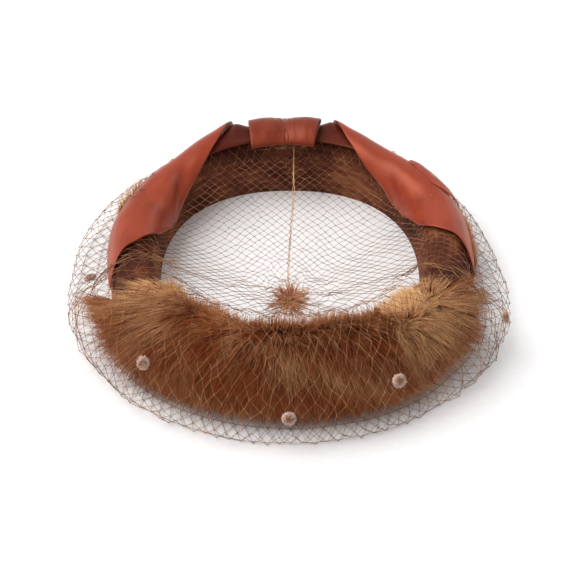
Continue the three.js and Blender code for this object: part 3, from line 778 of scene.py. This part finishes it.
def fur_front():
    """A crescent of long fur sewn round the front of the ring. It parts at two whorls near its right end,
    where the pelt's edge is turned under, and lies down and outwards everywhere else."""
    span = (FUR_FROM + 14, FUR_TO - 13)
    drift, wind, gold = waves(31, 9, 0.04, 0.2), waves(32, 8, 0.05, 0.3), waves(33, 8, 0.04, 0.22)

    def share_of(azimuth):
        return (2 * azimuth - FUR_FROM - FUR_TO) / (FUR_TO - FUR_FROM)

    def ends(azimuth, turn):
        """The coat reaches further round low on the outside than on top."""
        low = smooth(turn, 92, 132)
        left = 9 * smooth(turn, 104, 142) * smooth(azimuth, -124, -142)
        return azimuth - left + 12 * low * smooth(azimuth, -54, -41)

    def lie(azimuth, turn):
        share = share_of(azimuth)
        lean = np.radians(np.interp(turn, [36, 46, 58, 75, 110, 150, 172], [20, 34, 46, 55, 60, 52, 36])
                          + 8 * wind(azimuth, turn * 0.5))
        lean = lean - np.radians(14) * smooth(np.abs(share), 0.55, 0.85) * smooth(turn, 60, 85)
        heading = 1.0 * share * np.abs(share) ** 0.9 + 0.45 * drift(azimuth, turn * 0.6)
        for whorl, near in zip(WHORLS, (9.5, 6.0)):
            x, y = from_whorl(azimuth, turn, whorl)
            inside = np.exp(-(x * x + y * y) / (2 * near * near))
            aside = np.arctan2(x, y)
            heading = heading + (aside - heading) * np.clip(1.6 * inside, 0, 1)
            lean = lean * (1 - 0.94 * inside ** 1.3)
        return lean, heading

    def length_at(azimuth, turn):
        share = share_of(azimuth)
        swell = 0.6 + 0.4 * swelling(share, 1) + 0.22 * smooth(np.abs(share), 0.5, 0.8) * smooth(turn, 60, 90)
        swell = swell * (1 - 0.34 * smooth(azimuth, -58, -46) * smooth(turn, 118, 88))
        swell = swell * (1 - 0.3 * smooth(azimuth, -47, -40) * smooth(turn, 108, 88))
        swell = swell * (1 + 0.16 * smooth(azimuth, -118, -132) * smooth(turn, 108, 130))
        for whorl in WHORLS:
            x, y = from_whorl(azimuth, turn, whorl)
            swell = swell * (1 - 0.2 * np.exp(-((x / 11) ** 2 + (y / 11) ** 2)))
        return np.interp(turn, [36, 46, 60, 80, 110, 150, 172], [12, 14.5, 17, 20, 20.5, 15, 8]) * swell

    def root_lift(azimuth, turn):
        return 1.2 + 0.3 * read(FUR_SECTION, turn, 1) * swelling(share_of(azimuth), 1)

    def tint_at(azimuth, turn):
        # gold is random tone; the rise at low turns is painted light that lifts the shade between the hairs
        # at the inner parting
        tint = 0.17 + 0.14 * gold(azimuth, turn * 0.7) + 0.12 * smooth(turn, 62, 40)
        for whorl, near in zip(WHORLS, (12.0, 8.0)):
            x, y = from_whorl(azimuth, turn, whorl)
            tint = tint + 0.95 * np.exp(-(x * x + y * y) / (2 * near * near))
        # painted light: the upper side of the left end is lighter, facing the window; painted shade: low on
        # the outside the coat is darker
        tint = tint + 0.5 * smooth(azimuth, -118, -138) * smooth(turn, 130, 80)
        return tint - 0.1 * smooth(turn, 90, 120) * smooth(turn, 170, 145)

    underfur_body("underfur_front", (FUR_FROM + 5, FUR_TO - 3), FUR_SECTION, 1, 0.5, "fur_front")
    azimuth, root, bend, tip, tint = coat(FRONT_COAT, span, (36, 172), 0.5, WHORLS, ends, root_lift,
                                          length_at, lie, tint_at)
    order = np.argsort(azimuth)
    for part, members in enumerate(np.array_split(order, 4)):
        bristles(f"guard_hair_front_{part + 1}", root[members], bend[members], tip[members],
                 rng.uniform(0.115, 0.19, len(members)), tint[members], FUR, "fur")


def fur_back():
    """The low strip of the same fur under the ribbon, with a tuft that stands out at each hem."""
    def plume(azimuth):
        return smooth(azimuth, 140, 152) * smooth(azimuth, 168, 160) + 0.6 * smooth(azimuth, 40, 22)

    def lie(azimuth, turn):
        raised = plume(azimuth)
        heading = np.where(raised > 0.1, math.pi + 0.5 * np.sign(azimuth - 90), -0.2)
        return np.radians(72 - 22 * raised), heading

    def length_at(azimuth, turn):
        return 5 + 6.5 * plume(azimuth)

    def tint_at(azimuth, turn):
        return 0.35 + 0.35 * plume(azimuth)

    underfur_body("underfur_back", (BACK_FUR_FROM, BACK_FUR_TO), BACK_FUR_SECTION, 0.25, 1, "fur_back")
    span = (BACK_FUR_FROM + 0.6, BACK_FUR_TO - 0.6)
    _, root, bend, tip, tint = coat(BACK_COAT, span, (153, 177), 0.12, [], lambda azimuth, turn: azimuth,
                                    lambda azimuth, turn: 1.5, length_at, lie, tint_at)
    bristles("guard_hair_back", root, bend, tip, rng.uniform(0.095, 0.15, len(root)), tint, FUR, "fur")


# Veil
def diamonds(columns, rows):
    """Diamond mesh over the unit square: a grid poked and freed of its square edges."""
    bm = bmesh.new()
    bmesh.ops.create_grid(bm, x_segments=columns, y_segments=rows, size=0.5)
    square = bm.edges.layers.int.new("square")
    for edge in bm.edges:
        edge[square] = 1
    bmesh.ops.poke(bm, faces=bm.faces[:])
    freed(bm)
    return bm


def freed(bm):
    """Takes out the square edges that have a face on both sides."""
    square = bm.edges.layers.int["square"]
    inner = [e for e in bm.edges if e[square] and len(e.link_faces) == 2]
    bmesh.ops.dissolve_edges(bm, edges=inner, use_verts=False)


def crumpled(point, folds, slack):
    """A corner of the mesh moved off its smooth place, as slack net lies."""
    moved = point + slack * np.array([float(f(point[0], point[1])) for f in folds]) * (1, 1, 0.7)
    moved = moved + rng.normal(scale=0.16 + 0.28 * slack, size=3)
    moved[2] = max(moved[2], HEM_HEIGHT)
    return Vector(moved) * MM


def knotted(bm, name, *nodes):
    """The mesh's edges as threads, with a knot where they cross."""
    corners = np.array([v.co[:] for v in bm.verts]) / MM
    bmesh.ops.wireframe(bm, faces=bm.faces[:], thickness=THREAD * MM, offset=0, use_replace=True,
                        use_boundary=True, use_even_offset=False)
    bmesh.ops.recalc_face_normals(bm, faces=bm.faces)
    settle(bm, name + "_threads", NET, "net", *nodes)
    knot = bmesh.new()
    bmesh.ops.create_uvsphere(knot, u_segments=4, v_segments=2, radius=KNOT_RADIUS)
    shape = np.array([v.co[:] for v in knot.verts])
    size = rng.uniform(0.8, 1.25, len(corners))[:, None, None]
    copies(name + "_knots", knot, corners[:, None] + shape[None] * size, rng.uniform(0, 1, len(corners)), NET,
           "net")


def veil_skirt():
    """The net from its tucked hem over the ring. Its rows are a thread's length apart."""
    # from the hem's tucked edge up to just inside the ring, where the crown begins
    levels = np.linspace(4, 0.96, 281)
    halves = 2 * NET_COLUMNS
    t = np.arange(halves) * 180 / NET_COLUMNS
    azimuths = -90 + t - NET_BUNCHING * np.sin(np.radians(t))
    lines = np.stack([on_veil(azimuth, levels) for azimuth in azimuths])
    spread = np.linalg.norm(np.roll(lines, -1, 0) - np.roll(lines, 1, 0), axis=-1)
    spread = np.minimum(spread, NET_WIDEST * NET_SIDE)
    steps = np.cumsum(np.linalg.norm(np.diff(lines, axis=1, prepend=lines[:, :1]), axis=-1), axis=1)
    places = np.full((halves, NET_ROWS + 1), np.nan)
    for half in range(halves):
        at = 0.0
        for row in range(NET_ROWS + 1):
            if at > steps[half, -1]:
                break
            places[half, row] = at
            width = np.interp(at, steps[half], spread[half])
            at += math.sqrt(NET_SIDE ** 2 - (width / 2) ** 2)

    bm = diamonds(NET_COLUMNS, NET_ROWS // 2)
    folds = [waves(seed, 14, 0.05, 0.5) for seed in (51, 52, 53)]
    gone, placed = [], {}
    for vert in bm.verts:
        half = round((vert.co.x + 0.5) * halves) % halves
        row = round((vert.co.y + 0.5) * NET_ROWS)
        at = places[half, row]
        if np.isnan(at):
            gone.append(vert)
            continue
        point = np.array([np.interp(at, steps[half], lines[half, :, i]) for i in range(3)])
        azimuth = math.degrees(math.atan2(point[1] - CENTRE_Y, point[0]))
        slack = (0.3 + 1.0 * float(fur_presence(azimuth))) * float(smooth(at, 10, 34))
        vert.co = placed.setdefault((half, row), crumpled(point, folds, slack))
    bmesh.ops.delete(bm, geom=gone, context="VERTS")
    bmesh.ops.remove_doubles(bm, verts=bm.verts, dist=1e-5)
    freed(bm)
    knotted(bm, "veil_skirt", "veil_net")


def veil_crown():
    """The net across the opening, drawn in towards the gather from all sides."""
    azimuths = np.arange(-90, 271, 2)
    rims = np.stack([on_veil(a, 1.0)[0] for a in azimuths])
    ways = np.unwrap(np.arctan2(rims[:, 1] - GATHER[1], rims[:, 0] - GATHER[0]))
    # the net bridges the steps at the ends of the fur, so the rim's heights are averaged
    reach = 9
    bridged = np.concatenate([rims[-1 - reach:-1, 2], rims[:, 2], rims[1:1 + reach, 2]])
    rims[:, 2] = np.convolve(bridged, np.full(2 * reach + 1, 1 / (2 * reach + 1)), "valid")
    bm = diamonds(round(CROWN_NET[0] / CROWN_CELL[0]), round(CROWN_NET[1] / CROWN_CELL[1]))
    folds = [waves(seed, 14, 0.05, 0.5) for seed in (54, 55, 56)]
    gone = []
    for vert in bm.verts:
        flat = np.array([vert.co.x * CROWN_NET[0], CENTRE_Y + vert.co.y * CROWN_NET[1]])
        ahead = flat - GATHER[:2]
        way = (math.atan2(ahead[1], ahead[0]) - ways[0]) % (2 * math.pi) + ways[0]
        rim = np.array([np.interp(way, ways, rims[:, i]) for i in range(3)])
        share = np.linalg.norm(ahead) / np.linalg.norm((rim - GATHER)[:2])
        if share > CROWN_LAP:
            gone.append(vert)
            continue
        drawn = share ** CROWN_DRAWN_IN
        point = GATHER + (rim - GATHER) * drawn - crown_sag(np.linalg.norm(rim - GATHER), drawn) * UP
        near = np.linalg.norm((point - GATHER)[:2])
        vert.co = crumpled(point, folds, 0.25 + 1.1 * float(smooth(near, 46, 6)))
    bmesh.ops.delete(bm, geom=gone, context="VERTS")
    knotted(bm, "veil_crown")


def drawn_thread(name, line, radius, material, slot, *nodes):
    """A thread along a line of points, closed at its ends."""
    ahead = np.gradient(line, axis=0)
    ahead /= np.linalg.norm(ahead, axis=1, keepdims=True)
    side = np.cross(ahead, (0.37, 0.21, 0.9))
    side /= np.linalg.norm(side, axis=1, keepdims=True)
    other = np.cross(ahead, side)

    def place(u, v):
        at = np.clip(np.round(v * (len(line) - 1)).astype(int), 0, len(line) - 1)
        a = 2 * np.pi * u[:, None]
        return line[at] + radius * (np.cos(a) * side[at] + np.sin(a) * other[at])

    bm = cloth(THREAD_SIDES, len(line) - 1, place)
    bmesh.ops.remove_doubles(bm, verts=bm.verts, dist=1e-6)
    bmesh.ops.holes_fill(bm, edges=bm.edges)
    bmesh.ops.recalc_face_normals(bm, faces=bm.faces)
    settle(bm, name, material, slot, *nodes)


def even(line, number):
    """The same line with evenly spread points."""
    at = np.concatenate([[0], np.cumsum(np.linalg.norm(np.diff(line, axis=0), axis=1))])
    share = np.linspace(0, at[-1], number)
    return np.stack([np.interp(share, at, line[:, i]) for i in range(3)], -1)


def hem():
    """The net's selvage: one thread along the fold of the hem and one along its tucked edge."""
    azimuths = np.linspace(-180, 180, 361)
    wander = waves(81, 8, 0.05, 0.4)
    for name, level in (("veil_hem_fold", 2.97), ("veil_hem_edge", 3.5)):
        line = np.concatenate([on_veil(a, level) for a in azimuths])
        line[:, 2] = np.maximum(line[:, 2] + 0.15, 0.6)
        line[:, :2] *= 1 + 0.003 * wander(azimuths + 40 * level, 0)[:, None]
        drawn_thread(name, line, 0.13, NET, "net")


def gather():
    """The drawn-up edge of the net: cut ends and loops that splay round a few tight turns of thread."""
    count = GATHER_ENDS
    turn = rng.uniform(0, 2 * np.pi, count)
    ahead = np.stack([np.cos(turn), np.sin(turn), 0 * turn], -1)
    root = GATHER + ahead * rng.uniform(0.2, 2, count)[:, None] - 2 * UP
    far = rng.uniform(3, 14, count) * (1 + 0.7 * smooth(-ahead[:, 1], 0, 1))
    tip = GATHER + ahead * far[:, None] + rng.normal(scale=2.6, size=(count, 3))
    tip[:, 2] += rng.uniform(-1, 4.5, count) * (1 - far / 24)
    bend = root + (tip - root) * 0.5 + rng.normal(scale=3.2, size=(count, 3)) + 2.6 * UP
    bristles("gather_tuft", root, bend, tip, rng.uniform(0.14, 0.24, count), rng.uniform(0, 1, count),
             GATHERED, "net", "veil_gather", cuts=LOOSE)
    a = np.linspace(0, 2 * np.pi * COIL_TURNS, COIL_POINTS)
    radius = 2.1 + 0.35 * np.sin(a * 0.37)
    rise = np.linspace(-2.2, 0.4, COIL_POINTS)
    coil = GATHER + np.stack([radius * np.cos(a), radius * np.sin(a), rise], -1)
    drawn_thread("gather_winding", coil, 0.28, SEWING, "thread")


def seam():
    """The net's joining seam: two plies of tan thread from the gather up over the back of the ring."""
    crown = on_veil(90, np.linspace(0.03, 0.97, 60)) + 0.9 * UP
    over = on_ring(90, np.linspace(49, 60, 6), NET_LIFT + 1.6)
    line = even(np.concatenate([crown, over]), SEAM_POINTS)
    share = np.linspace(0, 1, SEAM_POINTS)
    line[:, 0] += -1 + 3 * smooth(share, 0.1, 0.75)
    wander = waves(71, 6, 3, 22)
    for ply, start, nodes in ((1, 0.0, ["veil_seam"]), (2, math.pi, [])):
        strand = line.copy()
        apart = 0.26 + 0.25 * np.abs(wander(share, 3)) * smooth(share, 0.98, 0.6)
        strand[:, 0] += apart * np.cos(share * 60 + start) + 0.2 * wander(share, 0)
        strand[:, 2] += 0.2 * np.sin(share * 60 + start)
        drawn_thread(f"seam_thread_{ply}", strand, 0.22, SEWING, "thread", *nodes)


def tangle(name, start, spread, curl, radius, darkest):
    """Short loose threads that run off from their starts."""
    end = start + rng.normal(scale=spread, size=start.shape)
    bend = (start + end) / 2 + rng.normal(scale=curl, size=start.shape)
    tints = rng.uniform(darkest, 1, len(start))
    bristles(name, start, bend, end, radius, tints, SEWING, "thread", cuts=LOOSE)


def stitches():
    """Pale tacking threads: a tangle along the bow's front edge, and another where the seam reaches it."""
    count = 46
    azimuth = rng.uniform(83, 100, count)
    start = on_ring(azimuth, 62 + rng.uniform(-5, 4, count), 7 + rng.uniform(-1, 1, count))
    tangle("tacking_tangle", start, (3.4, 0.9, 0.8), (1, 1, 1.4), 0.14, 0.4)
    count = 26
    start = on_ring(rng.uniform(88, 93, count), rng.uniform(20, 42, count), 1.6)
    tangle("seam_tangle", start, (2.6, 0.5, 2.4), (0.8, 0.4, 0.8), 0.13, 0.3)


# Dots
def dots():
    """Chenille dots: a short pile fluffed out round a pinch where each is tied to the net."""
    for number, (azimuth, level) in enumerate(DOTS, 1):
        near = on_veil(azimuth, [level - 0.01, level, level + 0.01])
        around = on_veil(azimuth + 0.5, level)[0] - on_veil(azimuth - 0.5, level)[0]
        out = np.cross(around, near[2] - near[0])
        out /= -np.linalg.norm(out)
        centre = near[1] + out * (0.8 + DOT_RADIUS * 0.72)
        ball = rng.normal(size=(DOT_HAIRS, 3))
        ball /= np.linalg.norm(ball, axis=1, keepdims=True)
        rise = ball @ out
        flat = ball - out * rise[:, None] * 0.45
        pinch = 1 - 0.5 * np.clip(rise, 0, 1) ** 3
        root = centre + flat * 1.1
        tip = centre + flat * (DOT_RADIUS * pinch * rng.uniform(0.84, 1.06, DOT_HAIRS))[:, None]
        bend = (root + tip) / 2 + rng.normal(scale=0.4, size=root.shape)
        # hairs that rise straight out of the pinch are painted darker: painted shade in the dimple at the
        # dot's middle
        tint = 0.75 - 0.75 * np.clip(rise, 0, 1) ** 2 + rng.normal(scale=0.2, size=DOT_HAIRS)
        bristles(f"dot_pile_{number}", root, bend, tip, rng.uniform(0.2, 0.34, DOT_HAIRS),
                 np.clip(tint, 0, 1), CHENILLE, "chenille", f"chenille_dot_{number}")


# Studio
def studio():
    """The white sweep, the light and the camera."""
    bm = bmesh.new()
    bmesh.ops.create_grid(bm, x_segments=1, y_segments=1, size=3)
    mesh = bpy.data.meshes.new("table_top")
    bm.to_mesh(mesh)
    bm.free()
    mesh.materials.append(PAPER)
    floor = bpy.data.objects.new("table_top", mesh)
    bpy.context.collection.objects.link(floor)

    world = bpy.data.worlds.new("studio")
    bpy.context.scene.world = world
    world.use_nodes = True
    sky = world.node_tree.nodes["Background"]
    sky.inputs["Color"].default_value = (1, 1, 1, 1)
    sky.inputs["Strength"].default_value = 0.6

    # a wide window on the left, a little behind the hat, and a soft box on the right
    for name, kind, place, strength, spread in (
        ("window", "SUN", (-0.68, 0.02, 1.0), 2.6, math.radians(56)),
        ("soft_box", "AREA", (0.8, 0.9, 0.7), 1.5, 0.6),
    ):
        light = bpy.data.lights.new(name, kind)
        light.energy = strength
        setattr(light, "angle" if kind == "SUN" else "size", spread)
        lamp = bpy.data.objects.new(name, light)
        lamp.location = place
        lamp.rotation_euler = (-Vector(place)).to_track_quat("-Z", "Y").to_euler()
        bpy.context.collection.objects.link(lamp)

    aim = Vector(CAMERA_AIM) * MM
    tilt = math.radians(CAMERA_ELEVATION)
    camera = bpy.data.objects.new("camera", bpy.data.cameras.new("camera"))
    camera.data.lens = LENS
    camera.location = aim + Vector((0, -math.cos(tilt), math.sin(tilt))) * CAMERA_DISTANCE * MM
    camera.rotation_euler = (aim - camera.location).to_track_quat("-Z", "Y").to_euler()
    bpy.context.collection.objects.link(camera)
    bpy.context.scene.camera = camera
    bpy.context.scene.view_settings.view_transform = "Standard"


studio()
padded_ring()
satin()
bow()
fur_front()
fur_back()
veil_skirt()
veil_crown()
hem()
gather()
seam()
stitches()
dots()
